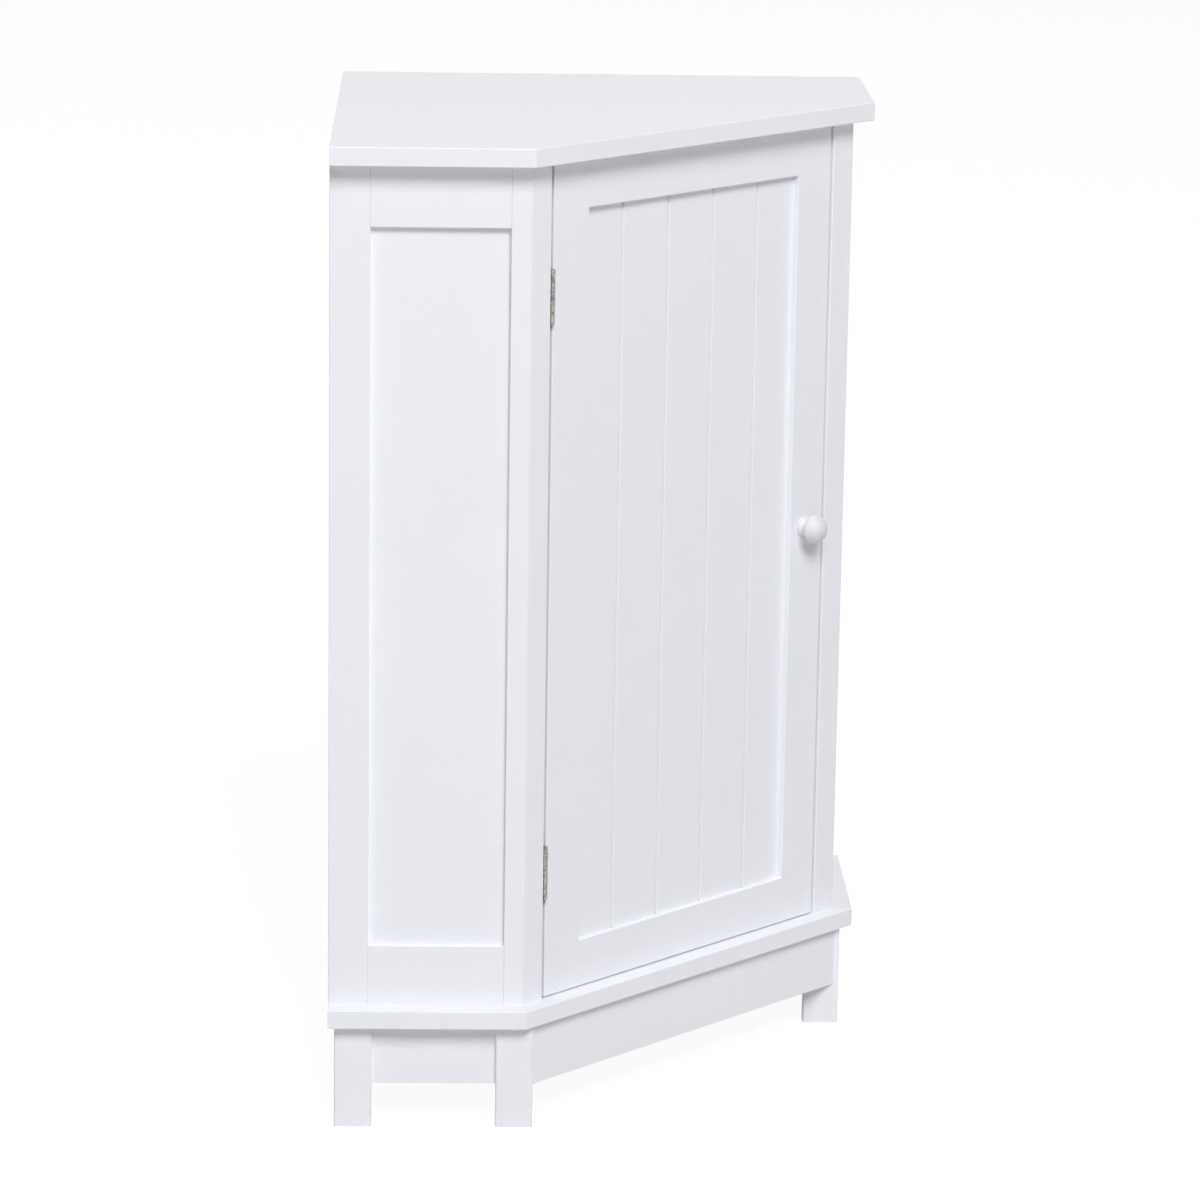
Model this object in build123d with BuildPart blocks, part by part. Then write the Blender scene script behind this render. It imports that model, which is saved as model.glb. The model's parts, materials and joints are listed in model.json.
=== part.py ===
from build123d import *
import os
from math import atan, degrees, sqrt

os.makedirs("parts", exist_ok=True)

# Overall sizes, in millimetres
height = 800.0
wall_length = 444.0
wing_width = 160.0
board = 15.0
leg_height = 86.5

# Body, set in from the edges of the top and base boards
wing_inset = 17.0
front_inset = 14.0

# Frames with grooved edges that hold thinner panels
frame = 15.0
rear_stile_width = 32.0
wing_rail_height = 50.0
post_wing_width = 16.0
hinge_post_width = 22.0
lock_post_width = 24.0
panel = 6.0
panel_recess = 5.5
groove_depth = 8.0
tongue_room = 0.2
panel_room = 0.5

# Door, with a wider gap where the hinges stand
hinge_gap = 4.6
lock_gap = 1.2
top_gap = 1.5
bottom_gap = 1.0
door_recess = 2.0
door_stile_width = 40.0
door_rail_height = 39.0
bead_pitch = 53.6
bead_count = 4
bead_width = 3.2

# Knob, turned about the axis of its screw
knob_inset = 22.2
knob_raise = 2.5
knob_radius = 12.25
knob_projection = 22.0
knob_dome = 10.0
knob_rim = 3.4
knob_base_radius = 9.2
knob_base_edge = 1.6
knob_neck_radius = 7.2
knob_screw_radius = 2.0
knob_screw_reach = 11.0
knob_screw_head_radius = 4.2
knob_screw_head_height = 2.4

# Butt hinges on the left of the door opening
hinge_length = 44.0
hinge_setback = 106.5
hinge_depth = 0.5
barrel_room = 0.3
knuckle_count = 5
knuckle_gap = 0.2
leaf = 1.0
leaf_reach = 15.0
leaf_clearance = 0.35
link_start = 0.9
leaf_corner = 2.0
hinge_pin_radius = 1.0
hinge_pin_edge = 0.35
hinge_screw_spread = 28.0
hinge_screw_depth = 9.0
hinge_screw_radius = 1.3
hinge_screw_head_radius = 2.4
hinge_screw_length = 12.0

# Magnetic catch under the top board and its strike plate on the door
catch_inset = 45.0
catch_width = 46.0
catch_depth = 14.0
catch_height = 14.0
catch_ear = 9.0
catch_ear_thickness = 3.0
catch_slot_width = 24.0
catch_slot_height = 9.0
pole = 1.6
pole_reach = 1.0
strike_width = 34.0
strike_height = 11.0
strike = 1.2
strike_drop = 1.0
catch_air = 0.2
catch_screw_radius = 1.5
catch_screw_head_radius = 2.8
catch_screw_head = 1.6
catch_screw_length = 12.0

# Feet and aprons under the base board
leg_width = 30.0
leg_inset = 10.5
leg_wall_inset = 5.0
leg_front_inset = 3.5
apron_height = 51.0
apron_recess = 5.0
apron_front_inset = 6.6

# Loose shelves on pegs
shelf_count = 2
shelf_room = 1.5
peg_radius = 2.5
peg_length = 8.0
peg_end_distance = 60.0

# Knock-down fittings and dowels
cam_radius = 7.5
cam_height = 12.4
cam_setback = 34.0
cam_end_distance = 75.0
bolt_radius = 3.0
bolt_thread_length = 11.0
bolt_room_radius = 3.3
bolt_past_centre = 2.0
dowel_radius = 3.0
dowel_in_face = 10.0
dowel_in_edge = 20.0
dowel_count = 2
stile_dowel_offset = 19.0

# Rounded arrises and clearances of fits
arris = 1.5
board_arris = 0.8
ease = 0.8
fit = 0.05
end_room = 0.3

# Levels
base_low = leg_height
body_low = leg_height + board
body_high = height - board

# Plan places: u runs out from one wall and v along it, both from the room corner
root2 = sqrt(2)
wing_face = wall_length - wing_inset
wing_back = wing_face - frame
edge_reach = (wall_length + wing_width) / root2
front_reach = edge_reach - front_inset
vertex_u = front_reach * root2 - wing_face
post_u = vertex_u - post_wing_width
post_depth = front_reach - (post_u + wing_back) / root2
knob_reach = front_reach - door_recess + knob_projection
corner_y = max(edge_reach, knob_reach) / 2
front_y = corner_y - front_reach
face_half = (wing_face - vertex_u) / root2
post_width = {-1: hinge_post_width, 1: lock_post_width}
opening_x = {side: side * (face_half - width) for side, width in post_width.items()}
door_x = (opening_x[-1] + hinge_gap, opening_x[1] - lock_gap)
sides = ((-1, "left"), (1, "right"))
up = Vector(0, 0, 1)


def spot(side, u, v):
    return (side * (v - u) / root2, corner_y - (u + v) / root2)


def place(side, u, v, z):
    x, y = spot(side, u, v)
    return Vector(x, y, z)


def u_way(side):
    return Vector(-side / root2, -1 / root2, 0)


def v_way(side):
    return Vector(side / root2, -1 / root2, 0)


def plan_box(side, u_range, v_range):
    (u0, u1), (v0, v1) = u_range, v_range
    return [spot(side, u, v) for u, v in ((u0, v0), (u1, v0), (u1, v1), (u0, v1))]


def front_box(x_range, y_range):
    (x0, x1), (y0, y1) = x_range, y_range
    return [(x0, y0), (x1, y0), (x1, y1), (x0, y1)]


def both_sides(corners):
    left = [spot(-1, u, v) for u, v in corners]
    right = [spot(1, u, v) for u, v in reversed(corners)]
    return left + right


def prism(points, low, high, mode=Mode.ADD):
    with BuildSketch(Plane.XY.offset(low)) as profile:
        with BuildLine():
            Polyline(*points, close=True)
        make_face()
    extrude(profile.sketch, amount=high - low, mode=mode)


def rod(origin, way, radius, length, mode=Mode.ADD, taper=0.0):
    with BuildSketch(Plane(origin, z_dir=way)) as profile:
        Circle(radius)
    extrude(profile.sketch, amount=length, taper=taper, mode=mode)


def bore(origin, way, radius, depth, taper=0.0):
    rod(origin, way, radius, depth, Mode.SUBTRACT, taper)


def drill(joints, sense):
    depth = dowel_in_edge if sense > 0 else dowel_in_face
    for point, way in joints:
        bore(point, way * sense, dowel_radius + fit, depth + end_room)


def add_dowels(joints):
    for point, way in joints:
        rod(point - way * dowel_in_face, way, dowel_radius, dowel_in_face + dowel_in_edge)


def spread(low, high, count):
    step = (high - low) / count
    return [low + step * (index + 0.5) for index in range(count)]


def save(piece, name):
    piece.part.label = name
    export_step(piece.part, f"parts/{name}.step")


def ease_uprights(piece, radius, points):
    edges = piece.edges().filter_by(Axis.Z)
    chosen = [
        edge for edge in edges
        if any((Vector(x, y, 0) - Vector(edge.center().X, edge.center().Y, 0)).length < fit
               for x, y in points)
    ]
    fillet(chosen, radius)


# Dowel joints: a point on the joint face and the way into the piece that is entered endwise
post_spot = ((vertex_u + post_u + front_reach * root2 - wing_back) / 3, wing_back)
stile_joints = {
    side: [(place(side, stile_dowel_offset, wing_back + frame / 2, body_low), up),
           (place(side, stile_dowel_offset, wing_back + frame / 2, body_high), -up)]
    for side, hand in sides
}
post_joints = {
    side: [(place(side, *post_spot, body_low), up), (place(side, *post_spot, body_high), -up)]
    for side, hand in sides
}
wall_joints = {
    side: [(place(side, board / 2, wing_back, z), -v_way(side))
           for z in spread(body_low, body_high, dowel_count)]
    for side, hand in sides
}
corner_joints = [
    (place(1, board / 2, board, z), v_way(1)) for z in spread(body_low, body_high, dowel_count)
]

# Cam fittings: a place on the wall panel's end and the way into the panel
cam_stations = (cam_end_distance, wing_back - cam_end_distance)
cam_joints = [
    (side, place(side, board / 2, v, z), way)
    for side, hand in sides
    for v in cam_stations
    for z, way in ((body_low, up), (body_high, -up))
]

# Feet: outer corner and the signs of the two arms along u and v
leg_face = wall_length - leg_inset
leg_corner_u = (edge_reach - leg_front_inset) * root2 - leg_face
legs = {
    "rear_leg": (-1, leg_wall_inset, leg_wall_inset, 1, 1),
    "left_wall_leg": (-1, leg_wall_inset, leg_face, 1, -1),
    "right_wall_leg": (1, leg_wall_inset, leg_face, 1, -1),
    "left_front_leg": (-1, leg_corner_u, leg_face, -1, -1),
    "right_front_leg": (1, leg_corner_u, leg_face, -1, -1),
}

leg_joints = {
    name: [(place(side, u + u_sign * board / 2, v + v_sign * board / 2, base_low), -up)]
    for name, (side, u, v, u_sign, v_sign) in legs.items()
}

# Aprons: plan outlines between the feet, glued to them and to the base board
wall_apron_u = (leg_wall_inset + apron_recess, leg_wall_inset + apron_recess + board)
wing_apron_v = (leg_face - apron_recess - board, leg_face - apron_recess)
wall_apron_v = (leg_wall_inset + leg_width, leg_face - leg_width)
wing_apron_u = (leg_wall_inset + leg_width, leg_corner_u - leg_width)
apron_front_v = (edge_reach - apron_front_inset) * root2 - leg_corner_u
aprons = {"front_apron": both_sides([(leg_corner_u, apron_front_v),
                                     (leg_corner_u, apron_front_v - board * root2)])}
for side, hand in sides:
    aprons[f"{hand}_apron"] = plan_box(side, wing_apron_u, wing_apron_v)
    aprons[f"{hand}_wall_apron"] = plan_box(side, wall_apron_u, wall_apron_v)

# Shelf levels and peg places
shelf_step = (body_high - body_low + board) / (shelf_count + 1)
shelf_levels = [body_low + shelf_step * (index + 1) - board for index in range(shelf_count)]
peg_stations = (peg_end_distance, wing_back - peg_end_distance)
post_back_y = front_y + post_depth


def ease_between(corner, way_x, low, high):
    x, y = corner
    with BuildSketch(Plane.XY.offset(low)) as waste:
        with Locations((x + way_x * ease / 2, y + ease / 2)):
            Rectangle(ease, ease)
        with Locations((x + way_x * ease, y + ease)):
            Circle(ease, mode=Mode.SUBTRACT)
    extrude(waste.sketch, amount=high - low, mode=Mode.SUBTRACT)


def wall_pegs(side):
    return [(place(side, board, v, 0), u_way(side)) for v in peg_stations]


def post_pegs(side):
    return [(Vector(opening_x[side] + side * post_width[side] / 2, post_back_y, 0), Vector(0, 1, 0))]


def drill_pegs(pegs):
    for level in shelf_levels:
        for point, way in pegs:
            bore(point + up * (level - peg_radius - fit), -way, peg_radius + fit, peg_length + end_room)


# Magnetic catch and strike plate places, behind the top rail of the door
door_y = (front_y + door_recess, front_y + door_recess + frame)
catch_x = door_x[1] - catch_inset
catch_y = door_y[1] + strike + catch_air + pole_reach
ear_screw_y = catch_y + catch_depth / 2
ear_spots = [catch_x + shift * (catch_width - catch_ear) / 2 for shift in (-1, 1)]

# Top and base boards share one five-sided outline
board_outline = both_sides([(0, 0), (0, wall_length), (wing_width, wall_length)])[:-1]
for name, low, joint_z, inward in (
    ("top_board", height - board, body_high, up), ("base_board", base_low, body_low, -up)
):
    with BuildPart() as slab:
        prism(board_outline, low, low + board)
        wall_faces = slab.faces().filter_by(lambda face: face.normal_at().Y > fit)
        fillet(slab.edges() - wall_faces.edges(), board_arris)
        for side, hand in sides:
            drill([joint for joint in stile_joints[side] + post_joints[side] if joint[0].Z == joint_z], -1)
        for side, point, way in cam_joints:
            if point.Z == joint_z:
                bore(point, inward, bolt_radius + fit, bolt_thread_length + end_room)
        if name == "base_board":
            for joints in leg_joints.values():
                drill(joints, -1)
        else:
            for x in ear_spots:
                bore(Vector(x, ear_screw_y, joint_z), inward, catch_screw_radius + fit,
                     catch_screw_length - catch_ear_thickness + end_room)
    save(slab, name)

# Wall panels, with cam pockets and rows of peg holes on the inside
for side, hand in sides:
    start = 0 if side < 0 else board
    with BuildPart() as wall:
        prism(plan_box(side, (0, board), (start, wing_back)), body_low, body_high)
        drill(wall_joints[side], 1)
        drill(corner_joints, -1 if side < 0 else 1)
        drill_pegs(wall_pegs(side))
        for cam_side, point, way in cam_joints:
            if cam_side == side:
                face = point + u_way(side) * board / 2 + way * cam_setback
                bore(face, -u_way(side), cam_radius, cam_height)
                bore(point, way, bolt_room_radius, cam_setback)
    save(wall, f"{hand}_wall_panel")

# Wing frames: stile, rails and a thin panel held in a groove all round
groove_v = (wing_face - panel_recess - panel - fit, wing_face - panel_recess + fit)
tongue_v = (groove_v[0] + fit, groove_v[1] - fit)
rail_u = (rear_stile_width, post_u)
tongue_u = (rail_u[0] - groove_depth + tongue_room, rail_u[1] + groove_depth - tongue_room)
panel_u = (rail_u[0] - groove_depth + panel_room, rail_u[1] + groove_depth - panel_room)
rail_levels = {
    "bottom": (body_low, body_low + wing_rail_height),
    "top": (body_high - wing_rail_height, body_high),
}
opening_edge = {"bottom": rail_levels["bottom"][1], "top": rail_levels["top"][0]}
for side, hand in sides:
    with BuildPart() as stile:
        prism(plan_box(side, (0, rail_u[0]), (wing_back, wing_face)), body_low, body_high)
        ease_uprights(stile, ease, [spot(side, 0, wing_face), spot(side, rail_u[0], wing_face)])
        prism(plan_box(side, (rail_u[0] - groove_depth, rail_u[0]), groove_v),
              body_low, body_high, Mode.SUBTRACT)
        drill(stile_joints[side], 1)
        drill(wall_joints[side], -1)
    save(stile, f"{hand}_rear_stile")

    for level, (low, high) in rail_levels.items():
        inner = (high - groove_depth, high) if level == "bottom" else (low, low + groove_depth)
        with BuildPart() as rail:
            prism(plan_box(side, rail_u, (wing_back, wing_face)), low, high)
            prism(plan_box(side, tongue_u, tongue_v), low, high)
            front_edges = rail.edges().filter_by(
                lambda edge: (edge.center()
                              - place(side, sum(rail_u) / 2, wing_face, opening_edge[level])).length < fit
            )
            fillet(front_edges, ease)
            prism(plan_box(side, tongue_u, groove_v), *inner, Mode.SUBTRACT)
        save(rail, f"{hand}_wing_{level}_rail")

    with BuildPart() as infill:
        reach = groove_depth - panel_room
        prism(plan_box(side, panel_u, tongue_v), opening_edge["bottom"] - reach, opening_edge["top"] + reach)
    save(infill, f"{hand}_wing_panel")

    # Corner post: one moulding with a wing face, a door face and a jamb that carries the door
    with BuildPart() as post:
        corners = [spot(side, post_u, wing_back), spot(side, post_u, wing_face),
                   spot(side, vertex_u, wing_face),
                   (opening_x[side], front_y), (opening_x[side], post_back_y)]
        prism(corners, body_low, body_high)
        ease_uprights(post, arris, [corners[2]])
        ease_uprights(post, ease, [corners[1], corners[3]])
        prism(plan_box(side, (post_u, post_u + groove_depth), groove_v),
              body_low, body_high, Mode.SUBTRACT)
        drill(post_joints[side], 1)
        drill_pegs(post_pegs(side))
        if side < 0:
            for centre in (body_low + hinge_setback, body_high - hinge_setback):
                for shift in (-hinge_screw_spread / 2, hinge_screw_spread / 2):
                    bore(Vector(opening_x[side], front_y + hinge_depth + hinge_screw_depth, centre + shift),
                         Vector(-1, 0, 0), hinge_screw_radius + fit, hinge_screw_length - leaf + end_room)
    save(post, f"{hand}_corner_post")

# Feet of two boards each, set back under the base board
for name, (side, u, v, u_sign, v_sign) in legs.items():
    far_u, far_v = u + u_sign * leg_width, v + v_sign * leg_width
    near_u, near_v = u + u_sign * board, v + v_sign * board
    outline = [spot(side, *corner) for corner in
               ((u, v), (far_u, v), (far_u, near_v), (near_u, near_v), (near_u, far_v), (u, far_v))]
    with BuildPart() as leg:
        prism(outline, 0, base_low)
        ease_uprights(leg, arris, outline[:3] + outline[4:])
        drill(leg_joints[name], 1)
    save(leg, name)

for name, outline in aprons.items():
    with BuildPart() as apron:
        prism(outline, base_low - apron_height, base_low)
    save(apron, name)

# Shelves and their pegs
shelf_wall = board + shelf_room
shelf_end = wing_back - shelf_room
shelf_front_u = (front_reach - post_depth - shelf_room) * root2 - shelf_end
shelf_outline = both_sides([(shelf_wall, shelf_wall), (shelf_wall, shelf_end),
                            (shelf_front_u, shelf_end)])[:-1]
for index, level in enumerate(shelf_levels):
    name = ("lower_shelf", "upper_shelf")[index]
    with BuildPart() as shelf:
        prism(shelf_outline, level, level + board)
        fillet(shelf.faces().sort_by(Axis.Y)[0].edges().filter_by(Axis.X), ease)
    save(shelf, name)

    with BuildPart() as pegs:
        for side, hand in sides:
            for point, way in wall_pegs(side) + post_pegs(side):
                seat = point + up * (level - peg_radius - fit)
                rod(seat - way * peg_length, way, peg_radius, 2 * peg_length)
    save(pegs, f"{name}_pegs")

# Door frame
door_low, door_high = body_low + bottom_gap, body_high - top_gap
door_groove_y = (door_y[0] + panel_recess - fit, door_y[0] + panel_recess + panel + fit)
door_tongue_y = (door_groove_y[0] + fit, door_groove_y[1] - fit)
door_rail_x = (door_x[0] + door_stile_width, door_x[1] - door_stile_width)
tongue_reach = groove_depth - tongue_room
door_tongue_x = (door_rail_x[0] - tongue_reach, door_rail_x[1] + tongue_reach)
panel_reach = groove_depth - panel_room
door_panel_x = (door_rail_x[0] - panel_reach, door_rail_x[1] + panel_reach)
knob_x = door_x[1] - knob_inset
knob_z = (door_low + door_high) / 2 + knob_raise
hinge_centres = {"lower": body_low + hinge_setback, "upper": body_high - hinge_setback}
strike_x = catch_x
strike_high = door_high - strike_drop
strike_z = strike_high - strike_height / 2

for side, name, outer, inner in (
    (-1, "door_hinge_stile", door_x[0], door_rail_x[0]), (1, "door_lock_stile", door_x[1], door_rail_x[1])
):
    with BuildPart() as stile:
        prism(front_box((outer, inner), door_y), door_low, door_high)
        ease_uprights(stile, ease, [(outer, door_y[0])])
        ease_between((inner, door_y[0]), side, door_low + door_rail_height, door_high - door_rail_height)
        prism(front_box((inner, inner + side * groove_depth), door_groove_y),
              door_low, door_high, Mode.SUBTRACT)
        if side < 0:
            for centre in hinge_centres.values():
                for shift in (-hinge_screw_spread / 2, hinge_screw_spread / 2):
                    bore(Vector(outer, front_y + hinge_depth + hinge_screw_depth, centre + shift),
                         Vector(1, 0, 0), hinge_screw_radius + fit, hinge_screw_length - leaf + end_room)
        else:
            bore(Vector(knob_x, door_y[0], knob_z), Vector(0, 1, 0), knob_screw_radius + fit, frame)
    save(stile, name)

door_rails = {
    "door_bottom_rail": (door_low, door_low + door_rail_height),
    "door_top_rail": (door_high - door_rail_height, door_high),
}
for name, (low, high) in door_rails.items():
    is_top = name == "door_top_rail"
    inner = (low, low + groove_depth) if is_top else (high - groove_depth, high)
    with BuildPart() as rail:
        prism(front_box(door_rail_x, door_y), low, high)
        prism(front_box(door_tongue_x, door_tongue_y), low, high)
        front_edges = rail.edges().filter_by(Axis.X).group_by(Axis.Y)[0].sort_by(Axis.Z)
        fillet(front_edges[0] if is_top else front_edges[-1], ease)
        prism(front_box(door_tongue_x, door_groove_y), *inner, Mode.SUBTRACT)
        if is_top:
            bore(Vector(strike_x, door_y[1], strike_z), Vector(0, -1, 0),
                 catch_screw_radius + fit, catch_screw_length - strike + end_room)
    save(rail, name)

# Beaded door panel with V grooves that mark the planks
panel_low = door_rails["door_bottom_rail"][1] - panel_reach
panel_high = door_rails["door_top_rail"][0] + panel_reach
panel_face = door_tongue_y[0]
with BuildPart() as planks:
    prism(front_box(door_panel_x, door_tongue_y), panel_low, panel_high)
    with BuildSketch(Plane.XY.offset(panel_low)) as beads:
        with Locations((sum(door_panel_x) / 2, panel_face)):
            with GridLocations(bead_pitch, 0, bead_count, 1):
                Rectangle(bead_width / root2, bead_width / root2, rotation=45)
    extrude(beads.sketch, amount=panel_high - panel_low, mode=Mode.SUBTRACT)
save(planks, "door_panel")

# Knob and the machine screw that holds it from behind
with BuildPart() as knob:
    with BuildSketch(Plane((knob_x, door_y[0], knob_z), x_dir=(1, 0, 0), z_dir=(0, 0, 1))) as section:
        with BuildLine():
            widest = knob_dome - knob_projection
            dome_radius = (knob_radius**2 + knob_dome**2) / (2 * knob_dome)
            Line((0, 0), (knob_base_radius, 0))
            Line((knob_base_radius, 0), (knob_base_radius, -knob_base_edge))
            ThreePointArc((knob_base_radius, -knob_base_edge),
                          (knob_neck_radius, (widest + knob_rim - knob_base_edge) / 2),
                          (knob_radius - knob_rim, widest + knob_rim))
            ThreePointArc((knob_radius - knob_rim, widest + knob_rim),
                          (knob_radius - knob_rim * (1 - 1 / root2), widest + knob_rim / root2),
                          (knob_radius, widest))
            RadiusArc((knob_radius, widest), (0, -knob_projection), dome_radius)
            Line((0, -knob_projection), (0, 0))
        make_face()
    revolve(section.sketch, axis=Axis((knob_x, door_y[0], knob_z), (0, 1, 0)))
    bore(Vector(knob_x, door_y[0], knob_z), Vector(0, -1, 0), knob_screw_radius + fit,
         knob_screw_reach + end_room)
save(knob, "knob")

with BuildPart() as screw:
    seat = Vector(knob_x, door_y[1], knob_z)
    rod(seat, Vector(0, -1, 0), knob_screw_radius, frame + knob_screw_reach)
    rod(seat, Vector(0, 1, 0), knob_screw_head_radius, knob_screw_head_height)
    chamfer(screw.edges().sort_by(Axis.Y)[-1], ease)
save(screw, "knob_screw")

# Hinges: two leaves that share a row of knuckles, and a pin
hinge_x = opening_x[-1] + hinge_gap / 2
hinge_y = front_y + hinge_depth
knuckle = hinge_length / knuckle_count
barrel_radius = hinge_gap / 2 - barrel_room
leaf_start = barrel_radius + leaf_clearance
screw_taper = degrees(atan((hinge_screw_head_radius - hinge_screw_radius) / leaf))


def hinge_leaf(centre, side):
    low = centre - hinge_length / 2
    outer = hinge_x + side * hinge_gap / 2
    strip = (outer, outer - side * leaf)
    prism(front_box(strip, (hinge_y + leaf_start, hinge_y + leaf_reach)), low, low + hinge_length)
    own = range(0, knuckle_count, 2) if side < 0 else range(1, knuckle_count, 2)
    for index in own:
        start = low + index * knuckle + knuckle_gap / 2
        stop = start + knuckle - knuckle_gap
        prism(front_box(strip, (hinge_y + link_start, hinge_y + leaf_start)), start, stop)
        rod(Vector(hinge_x, hinge_y, start), up, barrel_radius, stop - start)
    bore(Vector(hinge_x, hinge_y, low), up, hinge_pin_radius + fit, hinge_length)
    for shift in (-hinge_screw_spread / 2, hinge_screw_spread / 2):
        bore(Vector(outer - side * leaf, hinge_y + hinge_screw_depth, centre + shift),
             Vector(side, 0, 0), hinge_screw_head_radius + fit, leaf, screw_taper)


for level, centre in hinge_centres.items():
    for side, word in ((-1, "post"), (1, "door")):
        with BuildPart() as plate:
            hinge_leaf(centre, side)
            back = plate.edges().filter_by(Axis.X).group_by(Axis.Y)[-1]
            fillet(back, leaf_corner)
        save(plate, f"{level}_{word}_leaf")

    with BuildPart() as pin:
        low = centre - hinge_length / 2
        rod(Vector(hinge_x, hinge_y, low), up, hinge_pin_radius, hinge_length)
        chamfer(pin.edges().filter_by(GeomType.CIRCLE), hinge_pin_edge)
    save(pin, f"{level}_hinge_pin")

for side, name in ((-1, "post_leaf_screws"), (1, "door_leaf_screws")):
    with BuildPart() as screws:
        for centre in hinge_centres.values():
            for shift in (-hinge_screw_spread / 2, hinge_screw_spread / 2):
                head = Vector(hinge_x + side * (hinge_gap / 2 - leaf), hinge_y + hinge_screw_depth,
                              centre + shift)
                way = Vector(side, 0, 0)
                rod(head, way, hinge_screw_head_radius, leaf, taper=screw_taper)
                rod(head, way, hinge_screw_radius, hinge_screw_length)
    save(screws, name)

# Magnetic catch: a body with two ears, a magnet between two poles, and screws
block_half = catch_width / 2 - catch_ear
slot_half = catch_slot_width / 2
catch_low = body_high - catch_height
slot_z = (catch_low + pole, catch_low + pole + catch_slot_height)
catch_ears = front_box((catch_x - catch_width / 2, catch_x + catch_width / 2),
                       (catch_y, catch_y + catch_depth))
catch_block = front_box((catch_x - block_half, catch_x + block_half), (catch_y, catch_y + catch_depth))
catch_slot = front_box((catch_x - slot_half, catch_x + slot_half), (catch_y, catch_y + catch_depth - pole))
with BuildPart() as case:
    prism(catch_ears, body_high - catch_ear_thickness, body_high)
    prism(catch_block, catch_low, body_high)
    fillet(case.edges().group_by(Axis.Z)[0], ease)
    prism(catch_slot, *slot_z, Mode.SUBTRACT)
    for x in ear_spots:
        bore(Vector(x, ear_screw_y, body_high), -up, catch_screw_radius + fit, catch_ear_thickness)
save(case, "catch_body")

pole_y = (catch_y - pole_reach, catch_y + catch_depth - pole)
pole_x = (catch_x - slot_half + fit, catch_x + slot_half - fit)
with BuildPart() as poles:
    prism(front_box(pole_x, pole_y), slot_z[0], slot_z[0] + pole)
    prism(front_box(pole_x, pole_y), slot_z[1] - pole, slot_z[1])
save(poles, "catch_poles")

with BuildPart() as magnet:
    prism(front_box(pole_x, (catch_y, catch_y + catch_depth - pole)), slot_z[0] + pole, slot_z[1] - pole)
save(magnet, "catch_magnet")

with BuildPart() as screws:
    for x in ear_spots:
        seat = Vector(x, ear_screw_y, body_high - catch_ear_thickness)
        rod(seat, up, catch_screw_radius, catch_screw_length)
        rod(seat, -up, catch_screw_head_radius, catch_screw_head)
    chamfer(screws.edges().group_by(Axis.Z)[0], ease)
save(screws, "catch_screws")

strike_back = door_y[1] + strike
with BuildPart() as plate:
    prism(front_box((strike_x - strike_width / 2, strike_x + strike_width / 2), (door_y[1], strike_back)),
          strike_high - strike_height, strike_high)
    fillet(plate.edges().filter_by(Axis.Y), leaf_corner)
    bore(Vector(strike_x, strike_back, strike_z), Vector(0, -1, 0), catch_screw_head_radius, strike,
         degrees(atan((catch_screw_head_radius - catch_screw_radius - fit) / strike)))
save(plate, "strike_plate")

with BuildPart() as screw:
    head = Vector(strike_x, strike_back, strike_z)
    rod(head, Vector(0, -1, 0), catch_screw_head_radius - fit, strike,
        taper=degrees(atan((catch_screw_head_radius - catch_screw_radius - fit) / strike)))
    rod(head, Vector(0, -1, 0), catch_screw_radius, catch_screw_length)
save(screw, "strike_screw")

# Cam locks flush with the inside of the wall panels, each with a mouth for its bolt
with BuildPart() as cams:
    for side, point, way in cam_joints:
        face = point + u_way(side) * board / 2 + way * cam_setback
        rod(face, -u_way(side), cam_radius - fit, cam_height - fit)
    for side, point, way in cam_joints:
        bore(point, way, bolt_room_radius, cam_setback + bolt_past_centre + end_room)
save(cams, "cam_locks")

# Bolts that the cams pull, screwed into the boards
with BuildPart() as bolts:
    for side, point, way in cam_joints:
        rod(point - way * bolt_thread_length, way, bolt_radius,
            bolt_thread_length + cam_setback + bolt_past_centre)
save(bolts, "cam_bolts")

# Dowels of the carcass and the feet
with BuildPart() as pegs:
    for side, hand in sides:
        add_dowels(stile_joints[side] + post_joints[side] + wall_joints[side])
    add_dowels(corner_joints)
    for joints in leg_joints.values():
        add_dowels(joints)
save(pegs, "dowels")
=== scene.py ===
import json
import math

import bmesh
import bpy
from mathutils import Matrix, Vector


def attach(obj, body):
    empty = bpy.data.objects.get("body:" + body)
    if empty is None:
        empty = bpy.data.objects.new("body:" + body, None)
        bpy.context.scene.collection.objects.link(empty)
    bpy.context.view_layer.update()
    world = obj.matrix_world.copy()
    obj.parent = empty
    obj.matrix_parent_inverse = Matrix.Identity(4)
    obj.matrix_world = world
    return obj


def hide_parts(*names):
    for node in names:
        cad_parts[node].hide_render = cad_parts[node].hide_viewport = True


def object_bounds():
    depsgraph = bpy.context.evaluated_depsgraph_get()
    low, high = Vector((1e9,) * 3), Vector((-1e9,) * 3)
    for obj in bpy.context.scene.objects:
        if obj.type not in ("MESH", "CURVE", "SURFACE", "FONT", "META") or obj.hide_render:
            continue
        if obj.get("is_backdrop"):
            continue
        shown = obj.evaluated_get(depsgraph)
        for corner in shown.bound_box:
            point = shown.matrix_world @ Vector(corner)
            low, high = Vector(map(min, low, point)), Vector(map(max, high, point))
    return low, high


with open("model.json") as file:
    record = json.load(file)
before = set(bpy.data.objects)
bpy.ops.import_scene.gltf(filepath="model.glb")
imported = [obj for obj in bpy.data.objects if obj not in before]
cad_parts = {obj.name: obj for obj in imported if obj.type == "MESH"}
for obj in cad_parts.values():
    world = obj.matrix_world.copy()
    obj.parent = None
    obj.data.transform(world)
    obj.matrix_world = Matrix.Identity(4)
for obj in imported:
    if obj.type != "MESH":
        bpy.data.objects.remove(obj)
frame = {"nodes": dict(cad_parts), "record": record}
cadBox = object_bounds()
nodes = frame["nodes"]
mm = 0.001
print("frame loaded with", len(nodes), "nodes")


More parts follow.
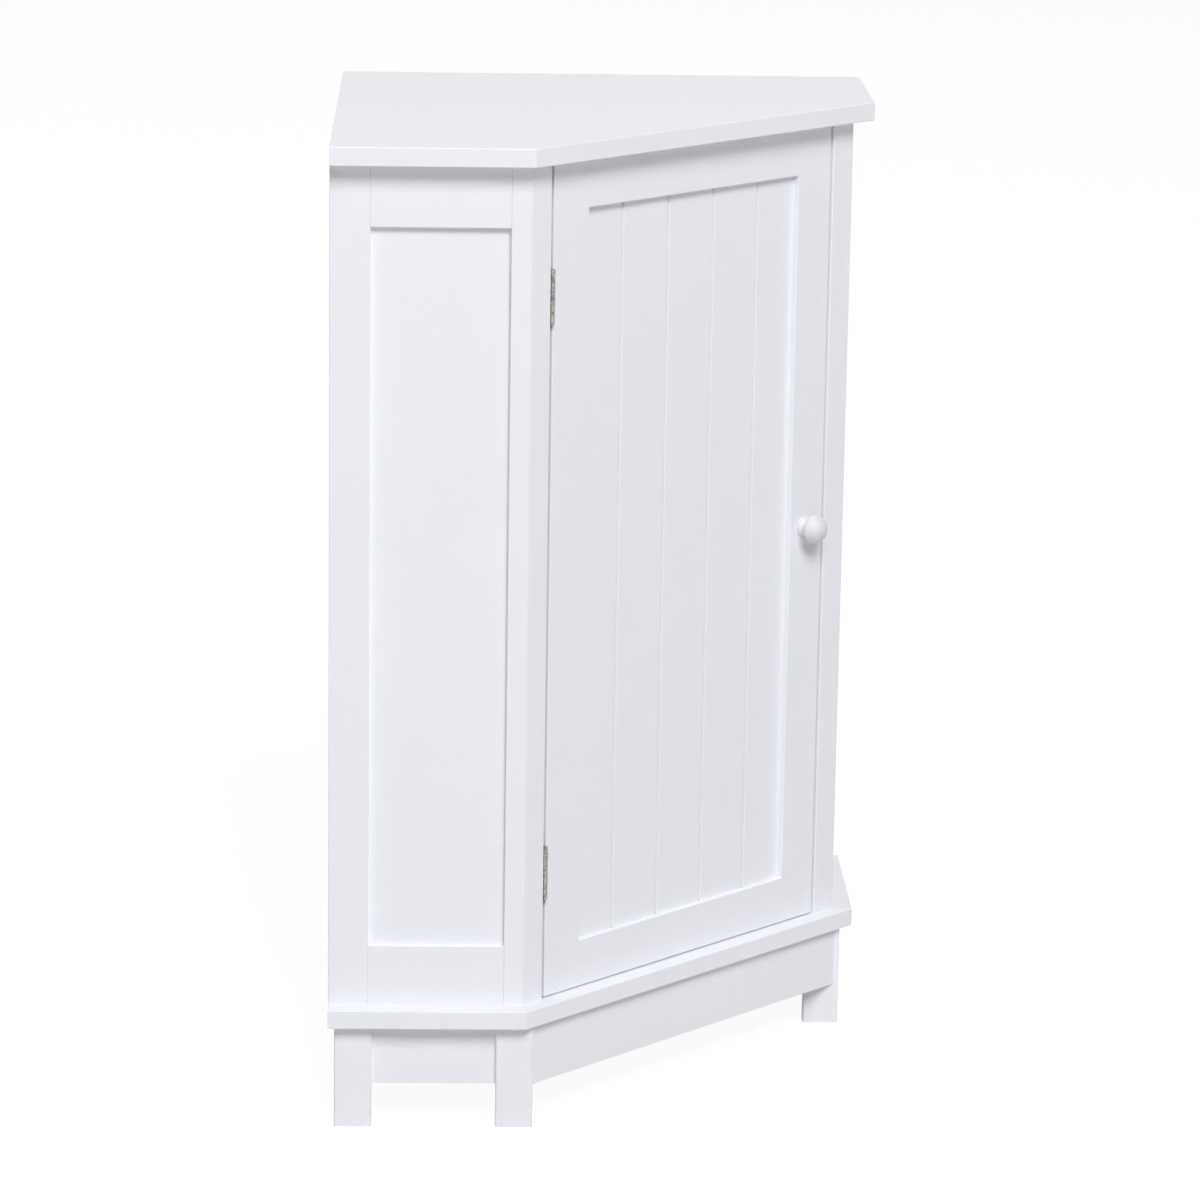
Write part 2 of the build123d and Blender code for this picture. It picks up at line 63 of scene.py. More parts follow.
# Helpers shared by the materials and the geometry trees
def linearColor(hexCode):
    channels = [int(hexCode[i:i + 2], 16) / 255 for i in (1, 3, 5)]
    return (*[c / 12.92 if c <= 0.04045 else ((c + 0.055) / 1.055) ** 2.4 for c in channels], 1)


def addNode(tree, kind, settings=None, inputs=None):
    node = tree.nodes.new(kind)
    for name, value in (settings or {}).items():
        setattr(node, name, value)
    for name, value in (inputs or {}).items():
        socket = node.inputs[name]
        if isinstance(value, (bpy.types.NodeSocket, list)):
            for source in value if isinstance(value, list) else [value]:
                tree.links.new(source, socket)
        else:
            socket.default_value = value
    return node


def newMaterial(name):
    material = bpy.data.materials.new(name)
    material.use_nodes = True
    material.node_tree.nodes.clear()
    return material, material.node_tree


# Camera, at the photograph's place and angle
camera = {
    "location": (-2.83877, -2.76559, 1.34012),
    "lookAt": (0.04852, -0.04984, 0.37241),
    "rollDegrees": 0.887,
    "lens": 144.105,
    "sensor": 36.0,
    "farEnd": 100.0,
}


def makeCamera():
    data = bpy.data.cameras.new("camera")
    data.sensor_width = camera["sensor"]
    data.lens = camera["lens"]
    data.clip_end = camera["farEnd"]
    holder = bpy.data.objects.new("camera", data)
    bpy.context.scene.collection.objects.link(holder)
    place = Vector(camera["location"])
    turn = (Vector(camera["lookAt"]) - place).to_track_quat("-Z", "Y").to_matrix().to_4x4()
    roll = Matrix.Rotation(math.radians(camera["rollDegrees"]), 4, "Z")
    holder.matrix_world = Matrix.Translation(place) @ turn @ roll
    bpy.context.scene.camera = holder


makeCamera()
print("camera placed")

# Floor, world and soft lamps. The floor's glow keeps it white to the eye, under a faint shadow
studio = {
    "floorSize": 60.0,
    "floorColor": "#DDDDDD",
    "floorShade": 0.22,      # share of the floor's own light and shadow that the camera sees
    "floorLift": 0.93,
    "worldLevel": 0.07,
    "shownLevel": 1.0,       # the white that the camera and reflections see
    "aim": (0.0, 0.0, 0.4),
}
# Round lamps, all turned to the aim. Size is the diameter in metres
lamps = {
    "key": {"place": (-4.06, -6.01, 7.28), "size": 4.2, "watts": 730.0},
    "front": {"place": (-1.96, -7.85, 6.28), "size": 3.9, "watts": 46.0},
    "overhead": {"place": (-0.59, -1.63, 10.25), "size": 7.3, "watts": 100.0},
    "rear": {"place": (0.0, 6.69, 7.83), "size": 7.3, "watts": 160.0},
    "right": {"place": (8.07, -4.29, 4.47), "size": 6.5, "watts": 22.0},
}


# 1 for what the camera sees straight, mirrored or through glass, else 0
def seenFlag(tree):
    paths = addNode(tree, "ShaderNodeLightPath")
    first = addNode(tree, "ShaderNodeMath", {"operation": "MAXIMUM"},
                    {0: paths.outputs["Is Camera Ray"], 1: paths.outputs["Is Glossy Ray"]})
    second = addNode(tree, "ShaderNodeMath", {"operation": "MAXIMUM"},
                     {0: first.outputs[0], 1: paths.outputs["Is Transmission Ray"]})
    return second.outputs[0]


def makeStudio():
    world = bpy.data.worlds.new("studio")
    bpy.context.scene.world = world
    world.use_nodes = True
    tree = world.node_tree
    tree.nodes.clear()
    light = addNode(tree, "ShaderNodeBackground", None,
                    {"Color": (1, 1, 1, 1), "Strength": studio["worldLevel"]})
    shown = addNode(tree, "ShaderNodeBackground", None,
                    {"Color": (1, 1, 1, 1), "Strength": studio["shownLevel"]})
    mix = addNode(tree, "ShaderNodeMixShader", None,
                  {0: seenFlag(tree), 1: light.outputs[0], 2: shown.outputs[0]})
    addNode(tree, "ShaderNodeOutputWorld", None, {"Surface": mix.outputs[0]})

    half = studio["floorSize"] / 2
    mesh = bpy.data.meshes.new("floor")
    mesh.from_pydata([(-half, -half, 0), (half, -half, 0), (half, half, 0), (-half, half, 0)],
                     [], [(0, 1, 2, 3)])
    floor = bpy.data.objects.new("floor", mesh)
    bpy.context.scene.collection.objects.link(floor)
    material, tree = newMaterial("matte paper floor")
    paper = addNode(tree, "ShaderNodeBsdfDiffuse", None, {"Color": linearColor(studio["floorColor"])})
    glow = addNode(tree, "ShaderNodeEmission", None,
                   {"Color": (1, 1, 1, 1), "Strength": studio["floorLift"] / (1 - studio["floorShade"])})
    soft = addNode(tree, "ShaderNodeMixShader", None,
                   {0: 1 - studio["floorShade"], 1: paper.outputs[0], 2: glow.outputs[0]})
    mix = addNode(tree, "ShaderNodeMixShader", None,
                  {0: seenFlag(tree), 1: paper.outputs[0], 2: soft.outputs[0]})
    addNode(tree, "ShaderNodeOutputMaterial", None, {"Surface": mix.outputs[0]})
    mesh.materials.append(material)
    floor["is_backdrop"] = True

    aim = Vector(studio["aim"])
    for name, lamp in lamps.items():
        data = bpy.data.lights.new(name, "AREA")
        data.shape = "DISK"
        data.size = lamp["size"]
        data.energy = lamp["watts"]
        holder = bpy.data.objects.new(name, data)
        bpy.context.scene.collection.objects.link(holder)
        place = Vector(lamp["place"])
        turn = (aim - place).to_track_quat("-Z", "Y").to_matrix().to_4x4()
        holder.matrix_world = Matrix.Translation(place) @ turn


makeStudio()
bpy.context.scene.view_settings.view_transform = "Standard"
print("studio lit")

# Satin polyurethane lacquer sprayed on fibreboard: an even, slightly cool white with a soft
# broad highlight and a faint orange peel. The peel is drawn at 3 mm, coarser than the real
# 1 mm, so that it shows at the render's size. Cloud is the mm between lighter and darker places
lacquer = {
    "name": "satin lacquer on fibreboard", "light": "#F4F5FA", "dark": "#F1F2F7", "cloud": 90.0,
    "peel": 3.0, "peelHeight": 0.012, "roughness": (0.34, 0.44), "coat": 0.15, "coatRoughness": 0.3,
}
# The same lacquer on the door's panel, with painted shade along its V grooves, where the colour turns a
# little greyer.
# Pitch and width are those of the grooves in mm, and core is the width of the fully shaded part
grooves = {"name": "satin lacquer with painted shade in grooves", "paintedGrooveShade": "#DFE0E3", "pitch": 53.6, "width": 2.6,
           "core": 2.6 * 2 / 3}
# A bought-in knob of turned wood, dipped in a matter and slightly greyer white
dippedPaint = {
    "name": "dipped white paint on turned wood", "light": "#E3E3E5", "dark": "#DFDFE1", "cloud": 12.0,
    "peel": 2.0, "peelHeight": 0.01, "roughness": (0.5, 0.58), "coat": 0.0, "coatRoughness": 0.3,
}


# Middle is the middle of the door's panel, whose front face gets the painted shade in the grooves, and none
# elsewhere
def makeLacquer(look, middle=None):
    material, tree = newMaterial(grooves["name"] if middle else look["name"])
    where = addNode(tree, "ShaderNodeTexCoord").outputs["Object"]
    cloud = addNode(tree, "ShaderNodeTexNoise", None,
                    {"Vector": where, "Scale": 1 / (look["cloud"] * mm), "Detail": 3.0, "Roughness": 0.5})
    tint = addNode(tree, "ShaderNodeMix", {"data_type": "RGBA"}, {
        0: cloud.outputs["Fac"], 6: linearColor(look["dark"]), 7: linearColor(look["light"])}).outputs[2]
    # Painted shade: the colour is greyed along each V groove of the panel's front face
    if middle:
        half = grooves["pitch"] / 2 * mm
        along = addNode(tree, "ShaderNodeSeparateXYZ", None, {0: where}).outputs
        aside = addNode(tree, "ShaderNodeMath", {"operation": "SUBTRACT"}, {0: along["X"], 1: middle.x})
        folded = addNode(tree, "ShaderNodeMath", {"operation": "PINGPONG"}, {0: aside.outputs[0], 1: half})
        line = addNode(tree, "ShaderNodeMapRange", None, {
            "Value": folded.outputs[0], "From Min": half - grooves["width"] / 2 * mm,
            "From Max": half - grooves["core"] / 2 * mm})
        front = addNode(tree, "ShaderNodeMath", {"operation": "LESS_THAN"}, {0: along["Y"], 1: middle.y})
        share = addNode(tree, "ShaderNodeMath", {"operation": "MULTIPLY"},
                        {0: line.outputs["Result"], 1: front.outputs[0]})
        tint = addNode(tree, "ShaderNodeMix", {"data_type": "RGBA"}, {
            0: share.outputs[0], 6: tint, 7: linearColor(grooves["paintedGrooveShade"])}).outputs[2]
    low, high = look["roughness"]
    sheen = addNode(tree, "ShaderNodeMapRange", None,
                    {"Value": cloud.outputs["Fac"], "To Min": low, "To Max": high})
    peel = addNode(tree, "ShaderNodeTexNoise", None,
                   {"Vector": where, "Scale": 1 / (look["peel"] * mm), "Detail": 1.0, "Roughness": 0.4})
    bump = addNode(tree, "ShaderNodeBump", None,
                   {"Distance": look["peelHeight"] * mm, "Height": peel.outputs["Fac"]})
    paint = addNode(tree, "ShaderNodeBsdfPrincipled", None,
                    {"Base Color": tint, "Roughness": sheen.outputs["Result"],
                     "Normal": bump.outputs["Normal"], "IOR": 1.5, "Coat Weight": look["coat"],
                     "Coat Roughness": look["coatRoughness"]})
    addNode(tree, "ShaderNodeOutputMaterial", None, {"Surface": paint.outputs[0]})
    return material


# The metals and the small hidden materials. Light and dark are the two ends of a faint clouding,
# cloud is its size in mm, grain and height are those of the surface's fine texture in mm
plainFinishes = {
    # Barrel-plated pressed steel: a warm grey that clouds from knuckle to knuckle, with dull glints.
    # The plating's grain is drawn at 0.6 mm, coarser than the real 0.1 mm, so that it shows
    # Painted reflection: the grey is kept darker than bare nickel to stand for the dark surroundings that the
    # plate reflects; the clouding between light and dark is random tone
    "hinge_nickel": {
        "name": "satin nickel plate on steel", "light": "#B9B5B0", "dark": "#837F7B", "metallic": 1.0,
        "roughness": (0.26, 0.46), "cloud": 2.6, "grain": 0.6, "height": 0.012,
    },
    # Cold-headed screws with a bright bluish zinc: small sharp glints on the recess and the rim
    "screw_steel": {
        "name": "bright zinc plate on steel", "light": "#CDD0D4", "dark": "#B4B7BC", "metallic": 1.0,
        "roughness": (0.2, 0.34), "cloud": 1.5, "grain": 0.5, "height": 0.004,
    },
    # Pressed strip with a dull zinc: an even grey with faint blotches and rolling marks
    "catch_steel": {
        "name": "dull zinc plate on steel", "light": "#B8BABC", "dark": "#9FA1A4", "metallic": 1.0,
        "roughness": (0.36, 0.52), "cloud": 4.0, "grain": 0.8, "height": 0.006,
    },
    # Turned pins with a thin nickel: smooth and slightly warm, with a narrow bright line
    "peg_steel": {
        "name": "nickel plate on turned steel", "light": "#C8C5C0", "dark": "#B0ADA8", "metallic": 1.0,
        "roughness": (0.2, 0.34), "cloud": 2.5, "grain": 0.4, "height": 0.003,
    },
    # Die-cast and left as cast: dull grey, a little pitted, with darker flow marks
    "cam_zinc": {
        "name": "die-cast zinc", "light": "#B0B1B0", "dark": "#8C8D8C", "metallic": 1.0,
        "roughness": (0.42, 0.6), "cloud": 3.0, "grain": 0.7, "height": 0.03,
    },
    # Injection moulded with a fine spark-eroded face: a soft, slightly warm white
    "catch_plastic": {
        "name": "moulded white ABS", "light": "#ECECE8", "dark": "#E4E4DF", "metallic": 0.0,
        "roughness": (0.4, 0.52), "cloud": 12.0, "grain": 0.5, "height": 0.015,
    },
    # Pressed and fired powder: nearly black, matt and grainy
    "magnet_ferrite": {
        "name": "pressed ferrite", "light": "#3A3A3C", "dark": "#242426", "metallic": 0.0,
        "roughness": (0.72, 0.88), "cloud": 1.2, "grain": 0.4, "height": 0.03,
    },
}


# The spans of a noise's value that the clouding and the grain are stretched over
cloudSpan = (0.35, 0.65)
grainSpan = (0.3, 0.7)


def makePlainFinish(look):
    material, tree = newMaterial(look["name"])
    where = addNode(tree, "ShaderNodeTexCoord").outputs["Object"]
    cloud = addNode(tree, "ShaderNodeTexNoise", None,
                    {"Vector": where, "Scale": 1 / (look["cloud"] * mm), "Detail": 2.0, "Roughness": 0.55})
    contrast = addNode(tree, "ShaderNodeMapRange", None,
                       {"Value": cloud.outputs["Fac"], "From Min": cloudSpan[0], "From Max": cloudSpan[1]})
    tint = addNode(tree, "ShaderNodeMix", {"data_type": "RGBA"}, {
        0: contrast.outputs["Result"], 6: linearColor(look["dark"]), 7: linearColor(look["light"])})
    grain = addNode(tree, "ShaderNodeTexNoise", None,
                    {"Vector": where, "Scale": 1 / (look["grain"] * mm), "Detail": 3.0})
    smooth, rough = look["roughness"]
    wear = addNode(tree, "ShaderNodeMapRange", None,
                   {"Value": grain.outputs["Fac"], "From Min": grainSpan[0], "From Max": grainSpan[1],
                    "To Min": smooth, "To Max": rough})
    bump = addNode(tree, "ShaderNodeBump", None,
                   {"Distance": look["height"] * mm, "Height": grain.outputs["Fac"]})
    surface = addNode(tree, "ShaderNodeBsdfPrincipled", None,
                      {"Base Color": tint.outputs[2], "Metallic": look["metallic"],
                       "Roughness": wear.outputs["Result"], "Normal": bump.outputs["Normal"]})
    addNode(tree, "ShaderNodeOutputMaterial", None, {"Surface": surface.outputs[0]})
    return material


# Fluted beech pins, milled and left bare: pale pinkish brown, dry, with short darker flecks.
# The flecks are 1 mm wide and 11 mm long, about twice the real ones, so that they show
beech = {
    "light": "#D9BB93", "dark": "#B8926A", "fleckWidth": 1.1, "fleckLength": 11.0, "fleckHeight": 0.03,
    "roughness": 0.72,
}


def makeBeech():
    material, tree = newMaterial("bare beech")
    where = addNode(tree, "ShaderNodeTexCoord").outputs["Object"]
    wide, long = 1 / (beech["fleckWidth"] * mm), 1 / (beech["fleckLength"] * mm)
    stretched = addNode(tree, "ShaderNodeMapping", None, {"Vector": where, "Scale": (wide, wide, long)})
    fleck = addNode(tree, "ShaderNodeTexNoise", None,
                    {"Vector": stretched.outputs[0], "Scale": 1.0, "Detail": 4.0})
    tint = addNode(tree, "ShaderNodeMix", {"data_type": "RGBA"}, {
        0: fleck.outputs["Fac"], 6: linearColor(beech["dark"]), 7: linearColor(beech["light"])})
    bump = addNode(tree, "ShaderNodeBump", None,
                   {"Distance": beech["fleckHeight"] * mm, "Height": fleck.outputs["Fac"]})
    wood = addNode(tree, "ShaderNodeBsdfPrincipled", None, {
        "Base Color": tint.outputs[2], "Roughness": beech["roughness"], "Normal": bump.outputs["Normal"]})
    addNode(tree, "ShaderNodeOutputMaterial", None, {"Surface": wood.outputs[0]})
    return material


finishes = {slot: makePlainFinish(look) for slot, look in plainFinishes.items()}
finishes["white_lacquer"] = makeLacquer(lacquer)
finishes["dowel_beech"] = makeBeech()
for row in frame["record"]["subparts"]:
    for slot in nodes[row["node"]].material_slots:
        slot.material = finishes[row["material_slot"]]
panelCorners = [Vector(corner) for corner in nodes["door_panel"].bound_box]
nodes["door_panel"].material_slots[0].material = makeLacquer(lacquer, sum(panelCorners, Vector()) / 8)
nodes["knob"].material_slots[0].material = makeLacquer(dippedPaint)


# Small fittings that repeat: each tree makes one fitting at the origin, with its head face at z = 0
# and its shank along +z, and copies it onto the places taken from the CAD nodes. Sides are the
# corners round each turned shape, and crispAngle is the bend in degrees over which an edge is sharp
sides = {"head": 32, "core": 20, "thread": 3, "turn": 14, "cam": 40, "bore": 24, "peg": 24}
crispAngle = 35


def startTree(name, sizes):
    tree = bpy.data.node_groups.new(name, "GeometryNodeTree")
    tree.interface.new_socket("Places", in_out="INPUT", socket_type="NodeSocketGeometry")
    for label in sizes:
        tree.interface.new_socket(label, in_out="INPUT", socket_type="NodeSocketFloat")
    tree.interface.new_socket("Finish", in_out="INPUT", socket_type="NodeSocketMaterial")
    tree.interface.new_socket("Fittings", in_out="OUTPUT", socket_type="NodeSocketGeometry")
    return tree, addNode(tree, "NodeGroupInput").outputs


# A turned part drawn as a stack of cones, each given as (start radius, length, end radius), on +z
def turnedStack(tree, steps, count):
    height = 0.0
    cones = []
    for startRadius, length, endRadius in steps:
        cone = addNode(tree, "GeometryNodeMeshCone", None, {
            "Vertices": count, "Radius Bottom": startRadius, "Radius Top": endRadius, "Depth": length})
        place = addNode(tree, "ShaderNodeCombineXYZ", None, {"Z": height})
        cones.append(addNode(tree, "GeometryNodeTransform", None, {
            "Geometry": cone.outputs["Mesh"], "Translation": place.outputs[0]}).outputs[0])
        height = addNode(tree, "ShaderNodeMath", {"operation": "ADD"}, {0: height, 1: length}).outputs[0]
    joined = addNode(tree, "GeometryNodeMeshBoolean", {"operation": "UNION", "solver": "EXACT"},
                     {"Mesh 2": cones})
    return joined.outputs["Mesh"], height


# A cross recess in the head face, and any other tools, are cut from the body
def cutCross(tree, body, span, width, depth, otherTools=()):
    size = addNode(tree, "ShaderNodeCombineXYZ", None, {"X": span, "Y": width, "Z": depth})
    bar = addNode(tree, "GeometryNodeMeshCube", None, {"Size": size.outputs[0]}).outputs["Mesh"]
    turned = addNode(tree, "GeometryNodeTransform", None, {"Geometry": bar, "Rotation": (0, 0, math.pi / 2)})
    cut = addNode(tree, "GeometryNodeMeshBoolean", {"operation": "DIFFERENCE", "solver": "EXACT"},
                  {"Mesh 1": body, "Mesh 2": [bar, turned.outputs[0], *otherTools]})
    return cut.outputs["Mesh"]


# The copies turn their z along "way" and their x along "across", and get crisp edges and the finish
def endTree(tree, places, fitting, finish):
    way, across = [addNode(tree, "GeometryNodeInputNamedAttribute", {"data_type": "FLOAT_VECTOR"},
                           {"Name": name}) for name in ("way", "across")]
    turn = addNode(tree, "FunctionNodeAxesToRotation", {"primary_axis": "Z", "secondary_axis": "X"},
                   {"Primary Axis": way.outputs["Attribute"], "Secondary Axis": across.outputs["Attribute"]})
    copies = addNode(tree, "GeometryNodeInstanceOnPoints", None,
                     {"Points": places, "Instance": fitting, "Rotation": turn.outputs[0]})
    real = addNode(tree, "GeometryNodeRealizeInstances", None, {"Geometry": copies.outputs[0]})
    corner = addNode(tree, "GeometryNodeInputMeshEdgeAngle")
    crisp = addNode(tree, "FunctionNodeCompare", {"data_type": "FLOAT", "operation": "GREATER_THAN"},
                    {"A": corner.outputs["Unsigned Angle"], "B": math.radians(crispAngle)})
    smooth = addNode(tree, "GeometryNodeSetShadeSmooth", {"domain": "FACE"}, {"Geometry": real.outputs[0]})
    edged = addNode(tree, "GeometryNodeSetShadeSmooth", {"domain": "EDGE"},
                    {"Geometry": smooth.outputs[0], "Selection": crisp.outputs[0], "Shade Smooth": False})
    coated = addNode(tree, "GeometryNodeSetMaterial", None,
                     {"Geometry": edged.outputs[0], "Material": finish})
    addNode(tree, "NodeGroupOutput", None, {"Fittings": coated.outputs[0]})
    return tree


def makeScrewTree():
    labels = ("Crown Radius", "Crown Height", "Face Radius", "Skirt Height", "Seat Radius", "Core Radius",
              "Tip Radius", "Shank Length", "Thread Height", "Thread Length", "Turns",
              "Recess Span", "Recess Width", "Recess Bar Height")
    tree, size = startTree("crossHeadScrew", labels)
    head, headHeight = turnedStack(tree, [
        (size["Crown Radius"], size["Crown Height"], size["Face Radius"]),
        (size["Face Radius"], size["Skirt Height"], size["Seat Radius"])], sides["head"])
    head = cutCross(tree, head, size["Recess Span"], size["Recess Width"], size["Recess Bar Height"])
    core = addNode(tree, "GeometryNodeMeshCone", None, {
        "Vertices": sides["core"], "Radius Bottom": size["Core Radius"], "Radius Top": size["Tip Radius"],
        "Depth": size["Shank Length"]})
    spiral = addNode(tree, "GeometryNodeCurveSpiral", None, {
        "Resolution": sides["turn"], "Rotations": size["Turns"], "Start Radius": size["Core Radius"],
        "End Radius": size["Tip Radius"], "Height": size["Thread Length"]})
    ridge = addNode(tree, "GeometryNodeCurvePrimitiveCircle", {"mode": "RADIUS"},
                    {"Resolution": sides["thread"], "Radius": size["Thread Height"]})
    thread = addNode(tree, "GeometryNodeCurveToMesh", None, {
        "Curve": spiral.outputs["Curve"], "Profile Curve": ridge.outputs["Curve"], "Fill Caps": True})
    shank = addNode(tree, "GeometryNodeJoinGeometry", None,
                    {0: [core.outputs["Mesh"], thread.outputs["Mesh"]]})
    place = addNode(tree, "ShaderNodeCombineXYZ", None, {"Z": headHeight})
    moved = addNode(tree, "GeometryNodeTransform", None,
                    {"Geometry": shank.outputs[0], "Translation": place.outputs[0]})
    screw = addNode(tree, "GeometryNodeJoinGeometry", None, {0: [head, moved.outputs[0]]})
    return endTree(tree, size["Places"], screw.outputs[0], size["Finish"])


def makeCamTree():
    labels = ("Rim Radius", "Rim", "Radius", "Height", "Bolt Radius", "Bolt Reach", "Bolt Depth",
              "Recess Span", "Recess Width", "Recess Bar Height")
    tree, size = startTree("camLock", labels)
    drum, _ = turnedStack(tree, [
        (size["Rim Radius"], size["Rim"], size["Radius"]),
        (size["Radius"], size["Height"], size["Radius"])], sides["cam"])
    bore = addNode(tree, "GeometryNodeMeshCylinder", None,
                   {"Vertices": sides["bore"], "Radius": size["Bolt Radius"], "Depth": size["Bolt Reach"]})
    place = addNode(tree, "ShaderNodeCombineXYZ", None, {"Z": size["Bolt Depth"]})
    mouth = addNode(tree, "GeometryNodeTransform", None, {
        "Geometry": bore.outputs["Mesh"], "Rotation": (0, math.pi / 2, 0), "Translation": place.outputs[0]})
    cam = cutCross(tree, drum, size["Recess Span"], size["Recess Width"], size["Recess Bar Height"],
                   [mouth.outputs[0]])
    return endTree(tree, size["Places"], cam, size["Finish"])


def makePegTree():
    labels = ("Tip Radius", "Tip", "Radius", "Free Length", "Collar Radius", "Collar Width", "Sunk Length")
    tree, size = startTree("shelfPeg", labels)
    peg, _ = turnedStack(tree, [
        (size["Tip Radius"], size["Tip"], size["Radius"]),
        (size["Radius"], size["Free Length"], size["Radius"]),
        (size["Collar Radius"], size["Collar Width"], size["Collar Radius"]),
        (size["Radius"], size["Sunk Length"], size["Radius"]),
        (size["Radius"], size["Tip"], size["Tip Radius"])], sides["peg"])
    return endTree(tree, size["Places"], peg, size["Finish"])


# The solids of one CAD node, each as its own list of corners. Corners this near in mm are one
weldReach = 0.02


def solidsOf(nodeName):
    shape = bmesh.new()
    shape.from_mesh(nodes[nodeName].data)
    bmesh.ops.remove_doubles(shape, verts=shape.verts, dist=weldReach * mm)
    left = set(shape.verts)
    solids = []
    while left:
        front = [left.pop()]
        found = []
        while front:
            vertex = front.pop()
            found.append(vertex.co.copy())
            for edge in vertex.link_edges:
                other = edge.other_vert(vertex)
                if other in left:
                    left.remove(other)
                    front.append(other)
        solids.append(found)
    shape.free()
    return solids


alongX, alongY, alongZ = Vector((1, 0, 0)), Vector((0, 1, 0)), Vector((0, 0, 1))


def middleOf(corners):
    return Vector([(min(c[i] for c in corners) + max(c[i] for c in corners)) / 2 for i in range(3)])


# Where a rod-like solid starts and which way it runs. The start is the end with the wider head
def rodPlace(corners, axis):
    middle = middleOf(corners)
    along = [(corner - middle).dot(axis) for corner in corners]
    aside = [((corner - middle) - axis * depth).length for corner, depth in zip(corners, along)]
    half = max(along)
    widest = max(zip(aside, along))[1]
    way = axis if widest < 0 else -axis
    return {"place": middle - way * half, "way": way, "across": alongX if axis == alongZ else alongZ}


def growFittings(name, tree, spots, sizes, finish, body, slot, *replaced):
    mesh = bpy.data.meshes.new(name)
    mesh.from_pydata([spot["place"] for spot in spots], [], [])
    mesh.materials.append(finish)
    for key in ("way", "across"):
        attribute = mesh.attributes.new(key, "FLOAT_VECTOR", "POINT")
        for item, spot in zip(attribute.data, spots):
            item.vector = spot[key]
    piece = bpy.data.objects.new(name, mesh)
    bpy.context.scene.collection.objects.link(piece)
    grow = piece.modifiers.new("grow", "NODES")
    grow.node_group = tree
    for item in tree.interface.items_tree:
        if item.name in sizes:
            grow[item.identifier] = sizes[item.name] * (1 if item.name == "Turns" else mm)
        elif item.name == "Finish":
            grow[item.identifier] = finish
    evaluated = piece.evaluated_get(bpy.context.evaluated_depsgraph_get())
    grown = bpy.data.meshes.new_from_object(evaluated)
    piece.modifiers.remove(grow)
    piece.data = grown
    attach(piece, body)
    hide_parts(*replaced)
    print(name, "made,", len(spots), "of them,", len(grown.polygons), "faces")


# Sizes of the fittings, in mm. The recess bars stand half above the face, so they cut half as deep
hingeScrew = {
    "Crown Radius": 2.0, "Crown Height": 0.12, "Face Radius": 2.28, "Skirt Height": 0.88, "Seat Radius": 1.3,
    "Core Radius": 0.95, "Tip Radius": 0.5, "Shank Length": 11.0, "Thread Height": 0.3, "Thread Length": 10.0,
    "Turns": 9.0, "Recess Span": 2.5, "Recess Width": 0.6, "Recess Bar Height": 1.4,
}
catchScrew = {
    "Crown Radius": 2.0, "Crown Height": 0.8, "Face Radius": 2.8, "Skirt Height": 0.8, "Seat Radius": 2.8,
    "Core Radius": 1.1, "Tip Radius": 0.5, "Shank Length": 12.0, "Thread Height": 0.35, "Thread Length": 11.0,
    "Turns": 8.0, "Recess Span": 2.7, "Recess Width": 0.7, "Recess Bar Height": 1.8,
}
strikeScrew = {
    "Crown Radius": 2.4, "Crown Height": 0.1, "Face Radius": 2.6, "Skirt Height": 1.1, "Seat Radius": 1.45,
    "Core Radius": 1.1, "Tip Radius": 0.5, "Shank Length": 10.8, "Thread Height": 0.35, "Thread Length": 9.8,
    "Turns": 7.0, "Recess Span": 2.8, "Recess Width": 0.65, "Recess Bar Height": 1.6,
}
knobScrew = {
    "Crown Radius": 3.0, "Crown Height": 1.3, "Face Radius": 4.2, "Skirt Height": 1.1, "Seat Radius": 4.2,
    "Core Radius": 1.65, "Tip Radius": 1.6, "Shank Length": 26.0, "Thread Height": 0.3, "Thread Length": 25.0,
    "Turns": 35.0, "Recess Span": 4.2, "Recess Width": 1.0, "Recess Bar Height": 3.0,
}
camLock = {
    "Rim Radius": 6.9, "Rim": 0.5, "Radius": 7.4, "Height": 11.8, "Bolt Radius": 3.3, "Bolt Reach": 20.0,
    "Bolt Depth": 7.5, "Recess Span": 9.0, "Recess Width": 1.8, "Recess Bar Height": 5.0,
}
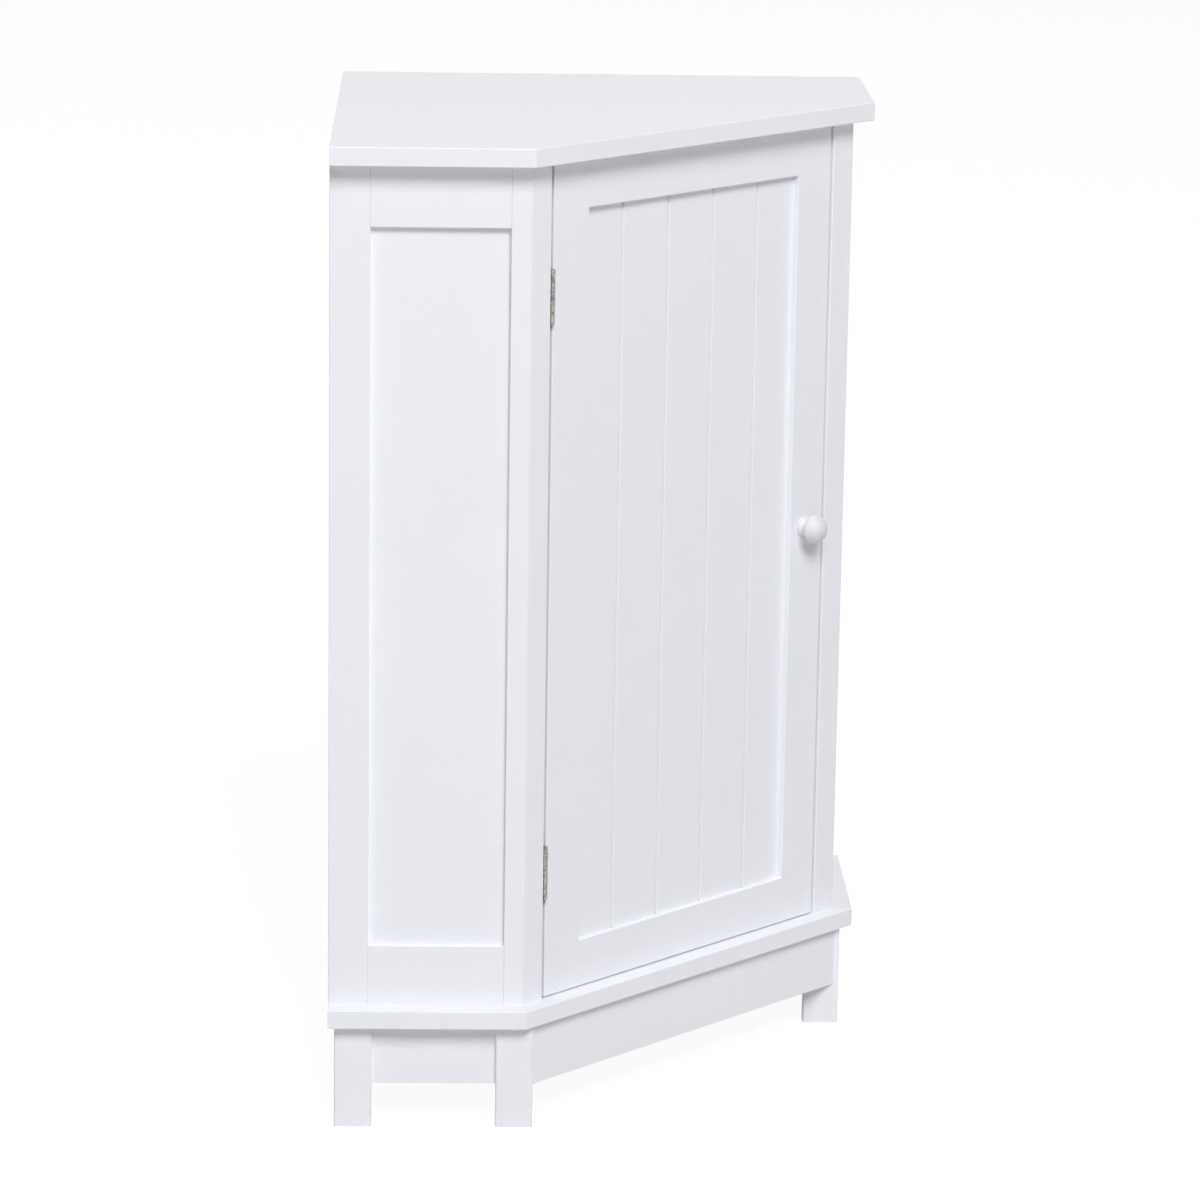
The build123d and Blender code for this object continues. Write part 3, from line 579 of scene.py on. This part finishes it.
# The bolt's mouth cuts the far side of the drum away, so a cam is placed by its near side: reach is
# from there to its axis in mm, and midHeight in m parts the cams of the top and of the base
camSpot = {"reach": 7.45, "midHeight": 0.45}
shelfPeg = {
    "Tip Radius": 2.0, "Tip": 0.5, "Radius": 2.5, "Free Length": 6.3, "Collar Radius": 3.4,
    "Collar Width": 1.2, "Sunk Length": 7.5,
}
pegThin = 3.0      # mm to each side of its middle, for a peg that runs straight back

screwTree = makeScrewTree()
camTree = makeCamTree()
pegTree = makePegTree()
steel = finishes["screw_steel"]
for name, body, source, axis, sizes in (
    ("postHingeScrews", "cabinet", "post_leaf_screws", alongX, hingeScrew),
    ("doorHingeScrews", "door", "door_leaf_screws", alongX, hingeScrew),
    ("catchBodyScrews", "cabinet", "catch_screws", alongZ, catchScrew),
    ("strikePlateScrew", "door", "strike_screw", alongY, strikeScrew),
    ("knobFixingScrew", "door", "knob_screw", alongY, knobScrew),
):
    growFittings(name, screwTree, [rodPlace(solid, axis) for solid in solidsOf(source)],
                 sizes, steel, body, "screw_steel", source)


# A cam's face lies on the inside of its wall panel, so it points to the middle of the cabinet
def camPlace(corners):
    middle = middleOf(corners)
    heights = [corner.z for corner in corners]
    reach = camSpot["reach"] * mm
    middle.z = min(heights) + reach if middle.z > camSpot["midHeight"] else max(heights) - reach
    inward = Vector((-math.copysign(1, middle.x), -1, 0)).normalized()
    depth = max((corner - middle).dot(inward) for corner in corners)
    return {"place": middle + inward * depth, "way": -inward, "across": alongZ}


# A peg is pushed half its length into the wood that carries it, away from the middle
def pegPlace(corners):
    middle = middleOf(corners)
    straight = max(abs(corner.x - middle.x) for corner in corners) < pegThin * mm
    outward = -alongY if straight else Vector((math.copysign(1, middle.x), 1, 0)).normalized()
    depth = max((corner - middle).dot(outward) for corner in corners)
    return {"place": middle - outward * depth, "way": outward, "across": alongZ}


growFittings("turnedCamLocks", camTree, [camPlace(solid) for solid in solidsOf("cam_locks")],
             camLock, finishes["cam_zinc"], "cabinet", "cam_zinc", "cam_locks")
for level in ("lower", "upper"):
    source = level + "_shelf_pegs"
    growFittings(level + "CollaredPegs", pegTree, [pegPlace(solid) for solid in solidsOf(source)],
                 shelfPeg, finishes["peg_steel"], "cabinet", "peg_steel", source)

sizes = {"cad": [list(corner) for corner in cadBox], "visual": [list(corner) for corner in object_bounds()]}
